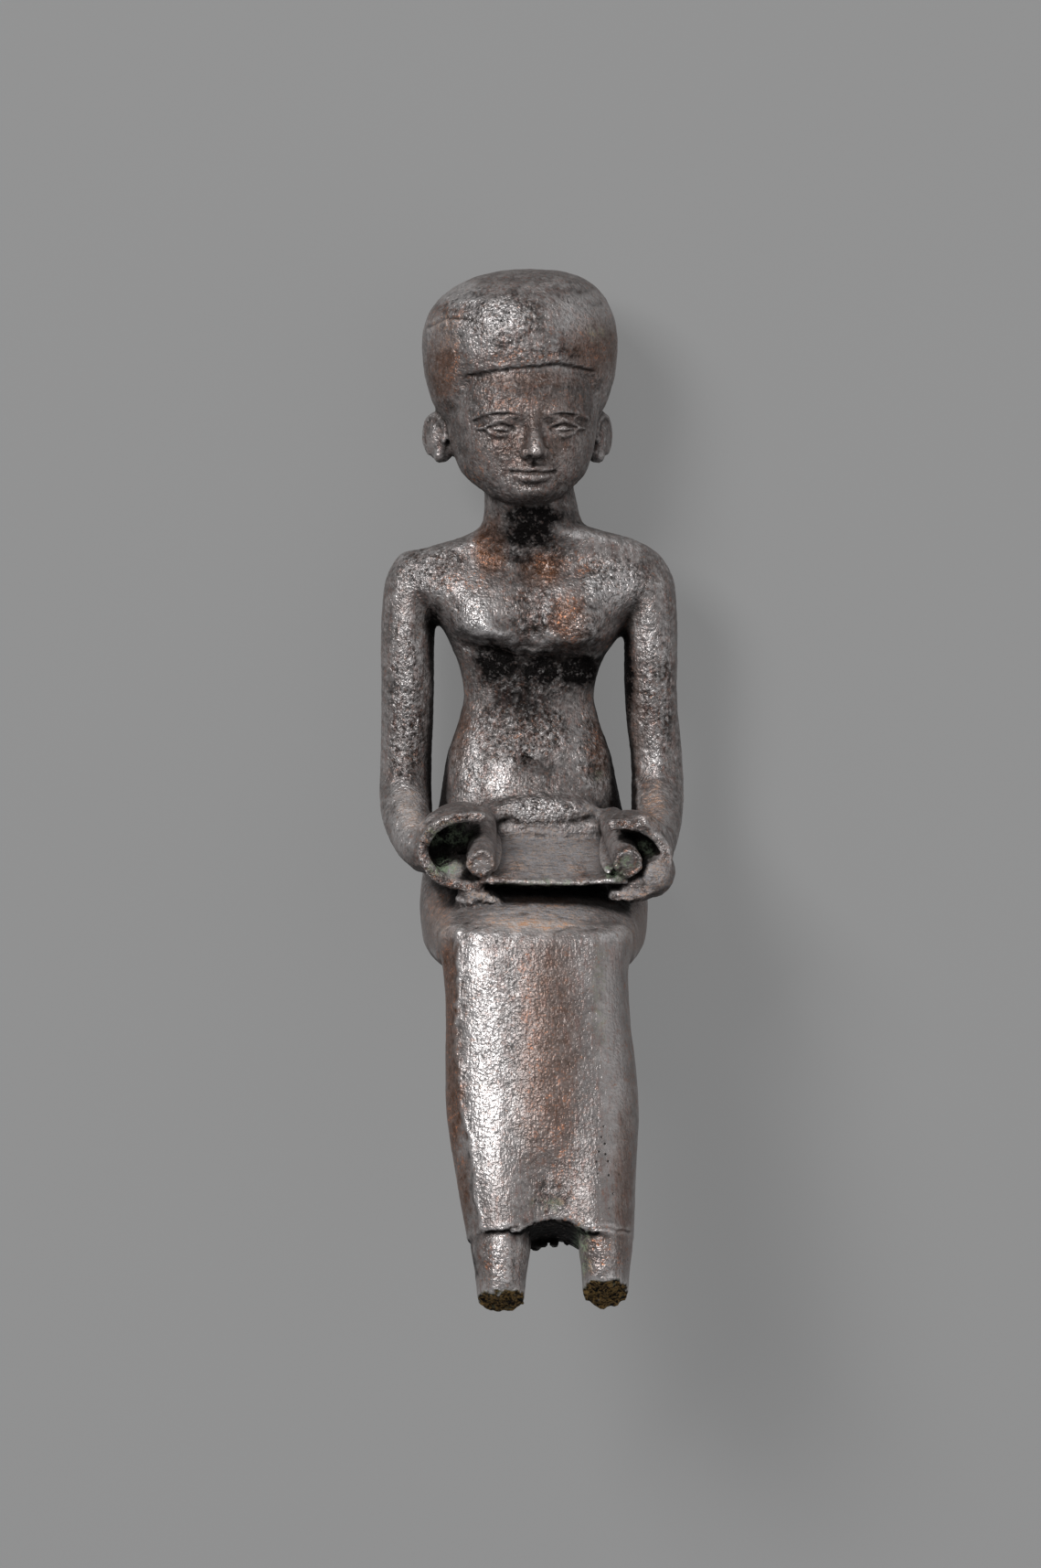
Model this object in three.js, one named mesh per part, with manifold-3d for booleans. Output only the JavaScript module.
// A small cast bronze figure of a seated man with an open scroll on his lap, lying on its back.
// Millimetres. +Y runs from the ankles to the crown, +Z is the figure's front, which faces up,
// and -X is the side of the figure's own right arm.
import * as THREE from 'three';
import { mergeVertices } from 'three/addons/utils/BufferGeometryUtils.js';
import loadManifold from 'manifold-3d';

const wasm = await loadManifold();
wasm.setup();

// Driving dimensions, in millimetres and degrees. Heights are along the body, from its middle.
const CROWN = 39.95;
const CAP_EDGE = 32.2;
const CAP_WIDEST = 33.9;
const CAP_HALF_WIDTH = 7.55;
const CAP_SQUARE = 2.4;
const CAP_LEAN = 0.9;
const NAPE = 24.6;
const HEAD = { x: -0.9, z: 7.8, turn: 8 };
const CHIN = 22;
const FACE_HALF_WIDTH = 5.75;

const CHEST = { shelf: 11.7, above: 5.6, below: 1.5, tilt: -0.05, arch: 0.06, apart: 3.9, wide: 3.4 };
const CHEST_OUT = { middle: 0.9, breast: 2.3 };

const ARM_RADIUS = 2.05;
const RIGHT_ARM = { side: -1, shoulder: 9.2, upper: 9.5, elbow: 9.65, fore: 9.3, wrist: 8.2, drop: -4.8 };
const LEFT_ARM = { side: 1, shoulder: 8.9, upper: 9.15, elbow: 9.65, fore: 9.6, wrist: 9.2, drop: -4.5 };
const RIGHT_HAND = { side: -1, rim: [-4.7, -4.8, 21.2], wide: 4.05, high: 3.1 };
const LEFT_HAND = { side: 1, rim: [6.95, -5.5, 21.2], wide: 3.85, high: 3.2 };
const HAND_LENGTH = 5.2;
const HAND_WALL = 0.85;
const HAND_OPEN = 72;

const SCROLL_REAR = { y: -3.25, z: 11.6, left: -3.7, right: 6.1 };
const SCROLL_FRONT = { y: -6.7, z: 21.8, left: -3.9, right: 7.4 };
const SCROLL_THICK = 0.6;
const SCROLL_SAG = 0.25;
const ROLL_RADIUS = 1.12;

const SEAT_UNDERSIDE = -14.3;
const KNEE_TOP = -10.3;
const HEM_FRONT = { y: -33.7, z: 30.2 };
const HEM_BACK = { y: -35.3, z: 23.6 };
const HEM_ARCH = { x: 1.6, radius: 3.4, top: -32.7 };
const RIGHT_ANKLE = { x: -2.35, top: 2.35, end: 1.62, breakY: -39.15, tilt: 24 };
const LEFT_ANKLE = { x: 5.65, top: 2.1, end: 1.6, breakY: -38.6, tilt: 30 };

// The face follows the rule of thirds between the cap's edge and the chin, and the rule of
// fifths across its width.
const THIRD = (CAP_EDGE - CHIN) / 3;
const BROW = CAP_EDGE - THIRD;
const NOSE_BASE = BROW - THIRD;
const MOUTH = NOSE_BASE - THIRD / 3;
const EYE_LINE = BROW - THIRD * 0.32;
const EYE_WIDTH = (2 * FACE_HALF_WIDTH) / 5;

// How square the sections are: 2 is an oval, more is squarer.
const ROUND = { lowSquare: 2, highSquare: 2 };
const SOFT = { lowSquare: 2.2, highSquare: 2.2 };
const BROAD = { lowSquare: 2.4, highSquare: 2.5 };
const BLOCKY = { lowSquare: 2.6, highSquare: 2.6 };

const SCROLL_SLOPE = Math.atan2(SCROLL_REAR.y - SCROLL_FRONT.y, SCROLL_FRONT.z - SCROLL_REAR.z);
const HEM_TILT = Math.atan2(HEM_FRONT.y - HEM_BACK.y, HEM_FRONT.z - HEM_BACK.z);

const vec = (x, y, z) => new THREE.Vector3(x, y, z);
const mix = THREE.MathUtils.lerp;
const radians = THREE.MathUtils.degToRad;

function stripped(geometry) {
  geometry.deleteAttribute('normal');
  geometry.deleteAttribute('uv');
  return mergeVertices(geometry, 1e-5);
}

// A closed geometry as a solid that can be joined and cut.
function solid(geometry) {
  const merged = stripped(geometry.clone());
  return new wasm.Manifold(new wasm.Mesh({
    numProp: 3,
    vertProperties: new Float32Array(merged.attributes.position.array),
    triVerts: new Uint32Array(merged.index.array),
  }));
}

function joined(...geometries) {
  return geometries.map(solid).reduce((whole, next) => whole.add(next));
}

function geometryOf(body) {
  const { vertProperties, triVerts } = body.getMesh();
  const geometry = new THREE.BufferGeometry();
  geometry.setAttribute('position', new THREE.BufferAttribute(vertProperties, 3));
  geometry.setIndex(new THREE.BufferAttribute(triVerts, 1));
  return geometry;
}

// Skin over rings of points that have the same count, with a fan over each end.
function skin(rings) {
  const count = rings[0].length;
  const points = rings.flat();
  const faces = [];
  for (let r = 0; r + 1 < rings.length; r += 1) {
    for (let i = 0; i < count; i += 1) {
      const a = r * count + i;
      const b = r * count + (i + 1) % count;
      faces.push(a, b, b + count, a, b + count, a + count);
    }
  }
  for (const [ring, flip] of [[0, true], [rings.length - 1, false]]) {
    const middle = rings[ring].reduce((sum, p) => sum.add(p), vec(0, 0, 0)).divideScalar(count);
    points.push(middle);
    for (let i = 0; i < count; i += 1) {
      const a = ring * count + i;
      const b = ring * count + (i + 1) % count;
      faces.push(...(flip ? [b, a, points.length - 1] : [a, b, points.length - 1]));
    }
  }
  const geometry = new THREE.BufferGeometry().setFromPoints(points);
  geometry.setIndex(faces);
  return facingOut(geometry);
}

function facingOut(geometry) {
  const place = geometry.attributes.position;
  const index = geometry.index.array;
  const at = (i) => vec(place.getX(i), place.getY(i), place.getZ(i));
  let volume = 0;
  for (let i = 0; i < index.length; i += 3) {
    volume += at(index[i]).dot(at(index[i + 1]).cross(at(index[i + 2])));
  }
  if (volume < 0) {
    for (let i = 0; i < index.length; i += 3) {
      [index[i], index[i + 1]] = [index[i + 1], index[i]];
    }
  }
  return geometry;
}

// One named size between stations, smooth and without overshoot.
function sizeAt(stations, key, at) {
  const last = stations.length - 2;
  let i = stations.findIndex((s, n) => n <= last && at <= stations[n + 1].at);
  i = i < 0 ? last : i;
  const rise = (n) => (stations[n + 1][key] - stations[n][key]) / (stations[n + 1].at - stations[n].at);
  const slope = (n) => {
    if (n <= 0 || n > last) return rise(Math.min(Math.max(n, 0), last));
    const [before, after] = [rise(n - 1), rise(n)];
    return before * after <= 0 ? 0 : (2 * before * after) / (before + after);
  };
  const span = stations[i + 1].at - stations[i].at;
  const t = (at - stations[i].at) / span;
  const [p, q] = [stations[i][key], stations[i + 1][key]];
  const [m, n] = [slope(i) * span, slope(i + 1) * span];
  const from = p * (1 + 2 * t) * (1 - t) ** 2 + m * t * (1 - t) ** 2;
  return from + q * t * t * (3 - 2 * t) - n * t * t * (1 - t);
}

function sectionAt(stations, at) {
  const keys = Object.keys(stations[0]);
  return Object.fromEntries(keys.map((key) => [key, sizeAt(stations, key, at)]));
}

// An oval ring from its four reaches: left and right across, low and high through. Its lower and
// upper halves are squarer where lowSquare and highSquare are over 2.
function ovalRing(section, sides, place) {
  const ring = [];
  for (let i = 0; i < sides; i += 1) {
    const angle = (2 * Math.PI * i) / sides;
    const [c, s] = [Math.cos(angle), Math.sin(angle)];
    const power = 2 / (s < 0 ? section.lowSquare : section.highSquare);
    const across = Math.sign(c) * Math.abs(c) ** power;
    const through = Math.sign(s) * Math.abs(s) ** power;
    const [middle, half] = [(section.left + section.right) / 2, (section.right - section.left) / 2];
    const [core, depth] = [(section.low + section.high) / 2, (section.high - section.low) / 2];
    ring.push(place(middle + half * across, core + depth * through));
  }
  return ring;
}

// Skin over oval sections, with the same number of rings in each span between two stations.
function loft(stations, ringsPerSpan, sides, place) {
  const full = stations.map((station) => ({ ...ROUND, ...station }));
  const loops = [];
  const addRing = (at) => {
    const section = sectionAt(full, at);
    loops.push(ovalRing(section, sides, (across, through) => place(across, through, at, section)));
  };
  for (let i = 0; i + 1 < full.length; i += 1) {
    for (let r = 0; r < ringsPerSpan; r += 1) addRing(mix(full[i].at, full[i + 1].at, r / ringsPerSpan));
  }
  addRing(full[full.length - 1].at);
  return skin(loops);
}

const upTheBody = (x, z, y) => vec(x, y, z);
const outToTheKnees = (x, y, z) => vec(x, y, z);

// A limb along a curve, with its half-width and half-depth at each point of the path. The width
// is measured along the side direction.
function limb(path, halfWidths, halfDepths, rings, sides, side = vec(1, 0, 0)) {
  const curve = new THREE.CatmullRomCurve3(path.map((p) => vec(...p)), false, 'centripetal');
  const sized = (values, t) => {
    const stations = values.map((value, i) => ({ at: i / (values.length - 1), value }));
    return sizeAt(stations, 'value', t);
  };
  const loops = [];
  for (let r = 0; r <= rings; r += 1) {
    const t = r / rings;
    const middle = curve.getPoint(t);
    const along = curve.getTangent(t);
    const across = side.clone().addScaledVector(along, -along.dot(side)).normalize();
    const deep = along.clone().cross(across);
    const loop = [];
    for (let i = 0; i < sides; i += 1) {
      const angle = (2 * Math.PI * i) / sides;
      const point = middle.clone();
      point.addScaledVector(across, Math.cos(angle) * sized(halfWidths, t));
      point.addScaledVector(deep, Math.sin(angle) * sized(halfDepths, t));
      loop.push(point);
    }
    loops.push(loop);
  }
  return skin(loops);
}

// A rounded lump with its own reach each way: left, right, down, up, back and front.
function lump(middle, reach, columns, rows) {
  const geometry = new THREE.SphereGeometry(1, columns, rows);
  const place = geometry.attributes.position;
  const [left, right, down, up, back, front] = reach;
  for (let i = 0; i < place.count; i += 1) {
    const [x, y, z] = [place.getX(i), place.getY(i), place.getZ(i)];
    place.setXYZ(
      i,
      middle[0] + x * (x < 0 ? left : right),
      middle[1] + y * (y < 0 ? down : up),
      middle[2] + z * (z < 0 ? back : front),
    );
  }
  return geometry;
}

const evenLump = (middle, [x, y, z], columns, rows) => lump(middle, [x, x, y, y, z, z], columns, rows);

function bent(geometry, change) {
  const place = geometry.attributes.position;
  for (let i = 0; i < place.count; i += 1) {
    const [x, y, z] = change(place.getX(i), place.getY(i), place.getZ(i));
    place.setXYZ(i, x, y, z);
  }
  return geometry;
}

// A big block to cut with: its upper face passes through a point and is tilted about the X axis.
function blockBelow(x, y, z, tilt) {
  const size = 60;
  const block = new THREE.BoxGeometry(size, size, size).translate(0, -size / 2, 0);
  return solid(block.rotateX(tilt).translate(x, y, z));
}

// How far the chest stands out: a slow rise from the collar to the two breasts, and a short
// drop under them that makes a shelf.
function chestRelief(x, y) {
  const bell = (distance, reach) => 0.5 + 0.5 * Math.cos(Math.PI * Math.min(Math.abs(distance) / reach, 1));
  const shelf = CHEST.shelf + CHEST.tilt * x + CHEST.arch * Math.abs(x);
  const rise = y > shelf ? bell(y - shelf, CHEST.above) : bell(y - shelf, CHEST.below);
  const breast = bell(x + CHEST.apart, CHEST.wide) + bell(x - CHEST.apart, CHEST.wide);
  return rise * mix(CHEST_OUT.middle, CHEST_OUT.breast, Math.min(breast, 1));
}

// Chest, back, shoulders and neck, in sections up the body. low is the back, high the front.
function torso() {
  return loft([
    { at: -9.5, left: -7.8, right: 8.2, low: 0.9, high: 11.6, ...BROAD },
    { at: -5.0, left: -8.0, right: 8.1, low: 0.7, high: 12.5, ...BROAD },
    { at: -1.5, left: -7.15, right: 6.95, low: 1.9, high: 12.5, ...BROAD },
    { at: 2.7, left: -6.5, right: 6.1, low: 3.3, high: 11.6, ...BROAD },
    { at: 7.0, left: -5.15, right: 4.75, low: 4.3, high: 10.3, ...BROAD },
    { at: 9.6, left: -5.6, right: 5.3, low: 4.1, high: 10.5, ...BROAD },
    { at: 10.8, left: -6.1, right: 6.0, low: 3.8, high: 10.9, ...BROAD },
    { at: 11.9, left: -6.6, right: 6.9, low: 3.5, high: 11.3, ...BROAD },
    { at: 13.4, left: -7.8, right: 7.9, low: 3.1, high: 11.7, ...BROAD },
    { at: 15.3, left: -9.9, right: 9.8, low: 3.1, high: 11.7, ...BROAD },
    { at: 16.9, left: -10.7, right: 10.5, low: 3.6, high: 11.1, ...BROAD },
    { at: 18.3, left: -8.9, right: 9.5, low: 4.2, high: 10.8, ...BROAD },
    { at: 19.3, left: -5.5, right: 7.6, low: 4.6, high: 11.2, ...SOFT },
    { at: 20.3, left: -3.8, right: 4.0, low: 4.8, high: 11.7, ...ROUND },
    { at: 22.0, left: -3.6, right: 3.5, low: 4.6, high: 12.0, ...ROUND },
    { at: 25.0, left: -3.9, right: 2.9, low: 4.2, high: 12.2, ...ROUND },
  ], 2, 28, (x, z, y, section) => {
    const middle = (section.low + section.high) / 2;
    const front = Math.max(z - middle, 0) / (section.high - middle);
    return vec(x, y, z + front * chestRelief(x, y));
  });
}

// Hips and thighs, in sections from the flat of the back out to the knees. low is the underside.
function lap() {
  const form = loft([
    { at: -0.3, left: -2.6, right: 3.0, low: -11.2, high: -7.0, ...BLOCKY },
    { at: 0.5, left: -5.2, right: 5.6, low: -12.9, high: -5.0, ...BLOCKY },
    { at: 2.6, left: -7.6, right: 8.0, low: -14.4, high: -3.0, ...BLOCKY },
    { at: 6.0, left: -8.5, right: 8.85, low: -14.8, high: -1.6, ...BLOCKY },
    { at: 9.5, left: -8.6, right: 8.95, low: -14.9, high: -2.6, ...BLOCKY },
    { at: 13.0, left: -8.5, right: 8.9, low: -14.9, high: -5.2, ...BLOCKY },
    { at: 17.0, left: -8.0, right: 8.5, low: -14.9, high: -7.1, ...BLOCKY },
    { at: 21.5, left: -7.5, right: 8.1, low: -14.9, high: -8.8, ...BLOCKY },
    { at: 25.0, left: -5.9, right: 6.7, low: -13.4, high: -10.3, ...BLOCKY },
  ], 1, 24, outToTheKnees);
  return solid(form).subtract(blockBelow(0, SEAT_UNDERSIDE, 0, 0));
}

// The kilt from the knees to the hem. Its section has a sharp ridge at the front of the figure's
// right leg, two faint shin crests with a valley between them, and a rounded other side.
function skirtRing(section, y) {
  const { left, right, ridge, back, front, valley } = section;
  const middle = (back + front) / 2;
  const corners = [
    [vec(ridge, front - 0.5, 0), vec(ridge + 0.9, front + 0.25, 0), vec(ridge + 2.4, front, 0), 3],
    [vec(ridge + 2.4, front, 0), vec(0.9, front - 2 * valley, 0), vec(right - 3.2, front, 0), 6],
    [vec(right - 3.2, front, 0), vec(right, front + 0.1, 0), vec(right, middle, 0), 6],
    [vec(right, middle, 0), vec(right, back, 0), vec(right - 2.6, back, 0), 3],
    [vec(right - 2.6, back, 0), vec((left + right) / 2, back + valley, 0), vec(left + 2.4, back, 0), 3],
    [vec(left + 2.4, back, 0), vec(left, back, 0), vec(left, middle, 0), 3],
    [vec(left, middle, 0), vec(left + 0.1, front - 1.6, 0), vec(ridge, front - 0.5, 0), 3],
  ];
  return corners.flatMap(([from, bend, to, steps]) => {
    const curve = new THREE.QuadraticBezierCurve3(from, bend, to);
    return curve.getPoints(steps).slice(0, steps).map((p) => vec(p.x, y, p.y));
  });
}

function skirt() {
  const stations = [
    { at: -36.0, left: -4.7, right: 7.75, ridge: -3.7, back: 23.4, front: 30.3, valley: 0.8 },
    { at: -33.5, left: -5.1, right: 7.85, ridge: -3.8, back: 23.1, front: 30.1, valley: 0.75 },
    { at: -31.0, left: -5.57, right: 7.95, ridge: -4.1, back: 22.6, front: 29.7, valley: 0.6 },
    { at: -28.8, left: -5.92, right: 8.02, ridge: -4.5, back: 22.1, front: 29.3, valley: 0.45 },
    { at: -24.6, left: -6.55, right: 8.23, ridge: -5.2, back: 21.0, front: 28.5, valley: 0.25 },
    { at: -21.5, left: -6.62, right: 8.02, ridge: -5.6, back: 20.2, front: 27.9, valley: 0.2 },
    { at: -17.3, left: -6.55, right: 7.53, ridge: -5.7, back: 19.4, front: 27.3, valley: 0.2 },
    { at: -14.1, left: -6.76, right: 7.4, ridge: -5.6, back: 19.0, front: 26.9, valley: 0.15 },
    { at: -12.4, left: -7.1, right: 7.8, ridge: -5.5, back: 19.0, front: 26.7, valley: 0.1 },
    { at: -11.2, left: -7.2, right: 7.8, ridge: -5.4, back: 19.2, front: 26.2, valley: 0.05 },
    { at: KNEE_TOP, left: -6.6, right: 7.2, ridge: -4.9, back: 20.0, front: 24.8, valley: 0 },
  ];
  const heights = [];
  for (let y = -36; y < -12; y += 2.2) heights.push(y);
  heights.push(-11.6, -11.0, -10.6, KNEE_TOP);
  const block = skin(heights.map((y) => skirtRing(sectionAt(stations, y), y)));
  const arch = new THREE.CylinderGeometry(HEM_ARCH.radius, HEM_ARCH.radius, 20, 20);
  arch.rotateX(Math.PI / 2 - HEM_TILT * 1.25);
  arch.translate(HEM_ARCH.x, HEM_ARCH.top - HEM_ARCH.radius, HEM_FRONT.z);
  const hem = blockBelow(0, HEM_FRONT.y, HEM_FRONT.z, -HEM_TILT);
  return solid(block).subtract(hem).subtract(solid(arch));
}

// An ankle stub that leaves the hem and ends in an oblique break.
function ankle({ x, top, end, breakY, tilt }) {
  const stub = limb(
    [[x, -31, 27.0], [x, -34.5, 27.5], [x, -37.5, 27.7], [x, -41.5, 27.8]],
    [top, top, mix(top, end, 0.6), end],
    [2.3, 2.3, 2.1, 1.9],
    5,
    14,
  );
  return solid(stub).subtract(blockBelow(x, breakY, 27.7, radians(-tilt)));
}

// Arm from the domed shoulder down to the elbow and forward to the wrist.
function arm({ side, shoulder, upper, elbow, fore, wrist, drop }) {
  const path = [
    [side * (shoulder - 0.9), 18.0, 7.5],
    [side * (shoulder - 0.3), 17.3, 7.5],
    [side * shoulder, 15.4, 7.5],
    [side * upper, 12, 7.7],
    [side * upper, 7, 7.6],
    [side * elbow, 1.8, 7.3],
    [side * elbow, -0.9, 8.6],
    [side * fore, -3.0, 12.2],
    [side * wrist, drop, 16.2],
    [side * (wrist - 1), drop - 0.2, 18.4],
  ];
  const wide = [0.2, 0.75, 1.06, 1.03, 1.0, 0.98, 1.0, 0.9, 0.76, 0.5];
  const deep = [0.25, 0.95, 1.3, 1.2, 1.1, 1.05, 1.05, 0.9, 0.8, 0.7];
  const sized = (shares) => shares.map((share) => share * ARM_RADIUS);
  return limb(path, sized(wide), sized(deep), 19, 12);
}

// A curled hand: a thin wall bent round the roll like a C, open at its front end, and a palm
// that closes its rear end. rim is the middle of the C's front end.
function hand({ side, rim, wide, high }) {
  const open = radians(HAND_OPEN);
  const outline = new THREE.Shape();
  outline.absellipse(0, 0, wide, high, open, 2 * Math.PI - open, false, 0);
  outline.absellipse(0, 0, wide - HAND_WALL, high - HAND_WALL, 2 * Math.PI - open, open, true, 0);
  outline.closePath();
  const wall = new THREE.ExtrudeGeometry(outline, {
    depth: 1, steps: 2, bevelEnabled: false, curveSegments: 8,
  });
  bent(wall, (x, y, t) => {
    const size = mix(0.72, 1, Math.sqrt(t));
    const back = (1 - t) * HAND_LENGTH;
    return [
      rim[0] - side * x * size + side * back * 0.12,
      rim[1] + y * size + back * Math.sin(SCROLL_SLOPE),
      rim[2] - back * Math.cos(SCROLL_SLOPE),
    ];
  });
  const palm = evenLump(
    [rim[0] + side * wide * 0.5, rim[1] + 1.0, rim[2] - HAND_LENGTH * 0.78],
    [wide * 0.56, high * 0.74, 1.7],
    10,
    6,
  );
  return joined(facingOut(stripped(wall)), palm);
}

// The open sheet of the scroll with a roll along each side, and the metal that carries it on
// the lap.
function scroll() {
  const alongScroll = (key, t) => mix(SCROLL_REAR[key], SCROLL_FRONT[key], t);
  const sheet = new THREE.BoxGeometry(1, SCROLL_THICK, 1, 6, 1, 1).translate(0.5, -SCROLL_THICK / 2, 0.5);
  bent(sheet, (u, v, t) => {
    const rise = v - SCROLL_SAG * Math.sin(Math.PI * u) * t;
    return [
      mix(alongScroll('left', t), alongScroll('right', t), u),
      alongScroll('y', t) + rise * Math.cos(SCROLL_SLOPE),
      alongScroll('z', t) + rise * Math.sin(SCROLL_SLOPE),
    ];
  });
  const roll = (edge) => {
    const lift = ROLL_RADIUS - SCROLL_THICK / 4;
    const end = (place, past) => [place[edge], place.y + lift, place.z + past];
    const path = [end(SCROLL_REAR, 0), end(SCROLL_FRONT, 0.5)];
    return limb(path, [ROLL_RADIUS, ROLL_RADIUS], [ROLL_RADIUS, ROLL_RADIUS], 1, 14);
  };
  const carrier = new THREE.BoxGeometry(8.6, 5.2, 7.6).rotateX(SCROLL_SLOPE).translate(1.4, -6.9, 13.2);
  return joined(sheet, roll('left'), roll('right'), carrier);
}

// Head with its own upright axis, turned and set on the neck afterwards.
function face() {
  const cheeks = { left: -FACE_HALF_WIDTH, right: FACE_HALF_WIDTH };
  return loft([
    { at: CHIN - 0.05, left: -1.5, right: 1.5, low: 2.6, high: 6.3 },
    { at: CHIN + 0.45, left: -2.7, right: 2.7, low: 0.6, high: 7.15 },
    { at: CHIN + 1.3, left: -3.8, right: 3.8, low: -1.5, high: 7.5 },
    { at: MOUTH, left: -4.75, right: 4.75, low: -3.2, high: 7.6, highSquare: 2.1 },
    { at: NOSE_BASE, left: -5.2, right: 5.2, low: -4.2, high: 7.65, highSquare: 2.15 },
    { at: EYE_LINE, ...cheeks, low: -5.6, high: 7.5, highSquare: 2.3 },
    { at: BROW, ...cheeks, low: -6, high: 7.95, highSquare: 2.35 },
    { at: CAP_EDGE, ...cheeks, low: -6.2, high: 7.5, highSquare: 2.3 },
    { at: CAP_EDGE + 3, left: -5, right: 5, low: -5.8, high: 5.8, highSquare: 2.2 },
  ], 2, 28, upTheBody);
}

// The close cap, domed and wide, with the face's window cut out of its front.
function cap() {
  const reach = [
    CAP_HALF_WIDTH, CAP_HALF_WIDTH, CAP_WIDEST - NAPE, CROWN - CAP_WIDEST, HEAD.z + 0.25, 7.75,
  ];
  const dome = lump([0, CAP_WIDEST, 0], reach, 28, 14);
  bent(dome, (x, y, z) => {
    const up = Math.min(Math.max((y - CAP_WIDEST) / (CROWN - CAP_WIDEST), 0), 1);
    const oval = Math.sqrt(1 - up ** 2);
    const wider = oval > 1e-3 ? (1 - up ** CAP_SQUARE) ** (1 / CAP_SQUARE) / oval : 1;
    return [x * wider + up ** 3 * CAP_LEAN, y, z * wider];
  });
  const window = new THREE.Shape();
  const [half, corner, flare] = [FACE_HALF_WIDTH - 0.55, 1.5, 0.8];
  window.moveTo(-half - flare, NAPE - 4);
  window.lineTo(-half, BROW);
  window.lineTo(-half, CAP_EDGE - corner);
  window.quadraticCurveTo(-half, CAP_EDGE, -half + corner, CAP_EDGE);
  window.lineTo(half - corner, CAP_EDGE);
  window.quadraticCurveTo(half, CAP_EDGE, half, CAP_EDGE - corner);
  window.lineTo(half, BROW);
  window.lineTo(half + flare, NAPE - 4);
  const opening = new THREE.ExtrudeGeometry(window, { depth: 12, bevelEnabled: false, curveSegments: 4 });
  const belowEars = new THREE.BoxGeometry(30, 10, 30).translate(0, BROW - 5 - THIRD * 0.5, 13.2);
  return solid(dome).subtract(solid(opening.translate(0, 0, 1.2))).subtract(solid(belowEars));
}

// The kilt's rolled top edge, a soft swelling across the lower belly.
function beltSwelling() {
  return evenLump([0.5, -1.9, 11.9], [5.2, 1.45, 1.35], 16, 8);
}

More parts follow.
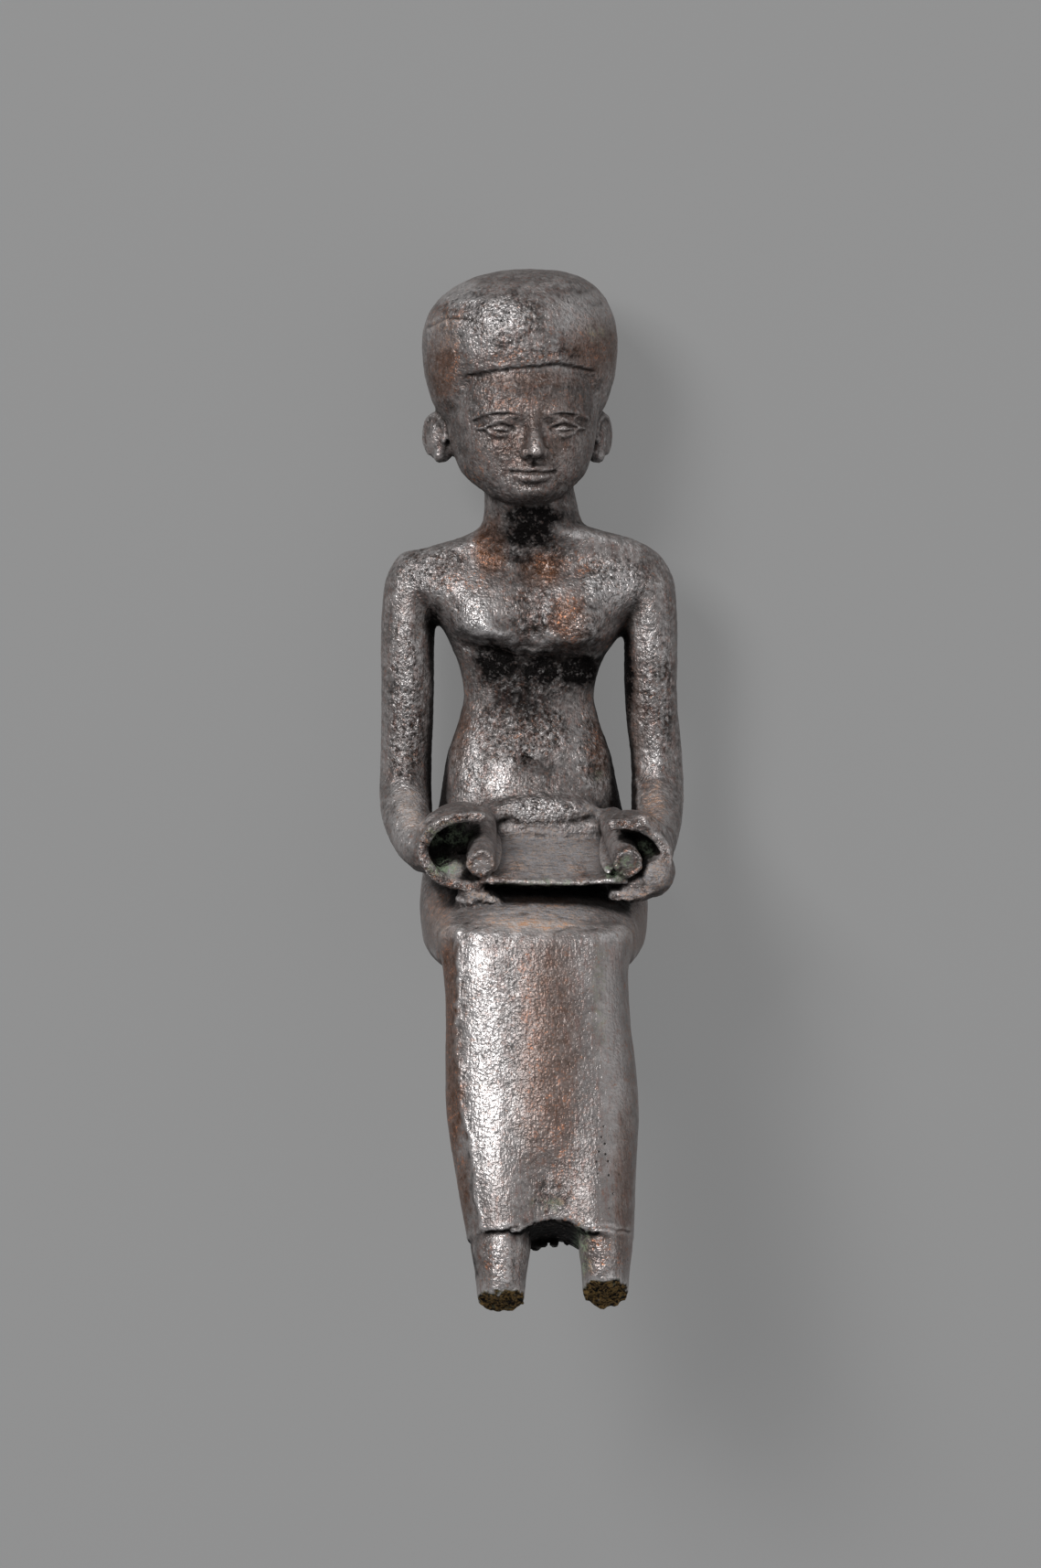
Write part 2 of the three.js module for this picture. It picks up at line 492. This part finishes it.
// Nose, brows, eyes, lips and chin, on the head's own axis.
function features() {
  const noseRing = (y, half, tip) => {
    const across = [-1, -0.72, -0.3, 0, 0.3, 0.72, 1];
    const out = [0, 0.6, 0.93, 1, 0.93, 0.6, 0];
    const ring = across.map((share, i) => vec(share * half, y, mix(6.9, tip, out[i])));
    return [...ring, vec(0, y, 6)];
  };
  const parts = [
    skin([
      noseRing(NOSE_BASE - 0.05, EYE_WIDTH * 0.4, 8.5),
      noseRing(NOSE_BASE + 0.2, EYE_WIDTH * 0.54, 9.3),
      noseRing(NOSE_BASE + 0.6, EYE_WIDTH * 0.52, 9.5),
      noseRing(NOSE_BASE + 1.1, EYE_WIDTH * 0.38, 9.2),
      noseRing(EYE_LINE, EYE_WIDTH * 0.3, 8.25),
      noseRing(BROW + 0.2, EYE_WIDTH * 0.34, 8.0),
    ]),
    evenLump([0, MOUTH + 0.33, 7.45], [EYE_WIDTH * 0.74, 0.36, 0.66], 10, 6),
    evenLump([0, MOUTH - 0.36, 7.4], [EYE_WIDTH * 0.6, 0.42, 0.68], 10, 6),
    evenLump([0, CHIN + 0.9, 6.45], [1.7, 0.95, 1.15], 10, 6),
  ];
  for (const side of [-1, 1]) {
    const [inner, outer] = [side * EYE_WIDTH * 0.42, side * EYE_WIDTH * 1.8];
    parts.push(
      evenLump([side * EYE_WIDTH * 1.02, EYE_LINE, 6.55], [EYE_WIDTH * 0.5, 0.6, 0.95], 10, 6),
      limb(
        [[inner, BROW - 0.1, 7.45], [outer / 1.8, BROW + 0.2, 7.2], [outer, BROW - 0.3, 5.9]],
        [0.3, 0.36, 0.24],
        [0.6, 0.7, 0.5],
        5,
        6,
        vec(0, 1, 0),
      ),
    );
  }
  return parts;
}

function ear(side) {
  const middle = [side * (FACE_HALF_WIDTH + 0.35), (BROW + NOSE_BASE) / 2, -0.6];
  const shell = solid(evenLump([0, 0, 0], [0.95, THIRD * 0.56, 1.5], 12, 8));
  const hollow = solid(evenLump([side * 0.25, 0.15, 0.95], [0.55, THIRD * 0.36, 0.8], 8, 6));
  const lobe = solid(evenLump([-side * 0.1, -THIRD * 0.42, 0.35], [0.55, 0.65, 0.7], 8, 6));
  const whole = geometryOf(shell.subtract(hollow).add(lobe));
  return solid(whole.rotateY(side * radians(-32)).translate(...middle));
}

function head() {
  let form = solid(face());
  for (const side of [-1, 1]) {
    const socket = evenLump([side * EYE_WIDTH, EYE_LINE - 0.05, 8.45], [EYE_WIDTH * 0.68, 1.0, 1.5], 12, 8);
    form = form.subtract(solid(socket)).add(ear(side));
  }
  form = form.add(joined(...features())).add(cap());
  return solid(geometryOf(form).rotateY(radians(HEAD.turn)).translate(HEAD.x, 0, HEAD.z));
}

function figure() {
  const pieces = [
    lap(), skirt(), ankle(RIGHT_ANKLE), ankle(LEFT_ANKLE), scroll(), hand(RIGHT_HAND), hand(LEFT_HAND),
    solid(arm(RIGHT_ARM)), solid(arm(LEFT_ARM)), head(), solid(beltSwelling()),
  ];
  const body = pieces.reduce((whole, piece) => whole.add(piece), solid(torso()));
  const navel = solid(evenLump([-0.4, 2.4, 12], [0.75, 0.6, 0.9], 10, 8));
  const floor = solid(new THREE.BoxGeometry(60, 100, 10).translate(0, 0, -5));
  return body.subtract(navel).subtract(floor);
}

const geometry = geometryOf(figure());
geometry.computeBoundingBox();
const box = geometry.boundingBox;
geometry.translate(-(box.min.x + box.max.x) / 2, -(box.min.y + box.max.y) / 2, -box.min.z);
geometry.computeVertexNormals();

const bronze = new THREE.MeshStandardMaterial({ color: 0x4a423d, roughness: 0.42, metalness: 0.85 });
const statuette = new THREE.Mesh(geometry, bronze);
statuette.name = 'figure';

const object = new THREE.Group();
object.add(statuette);

export default object;
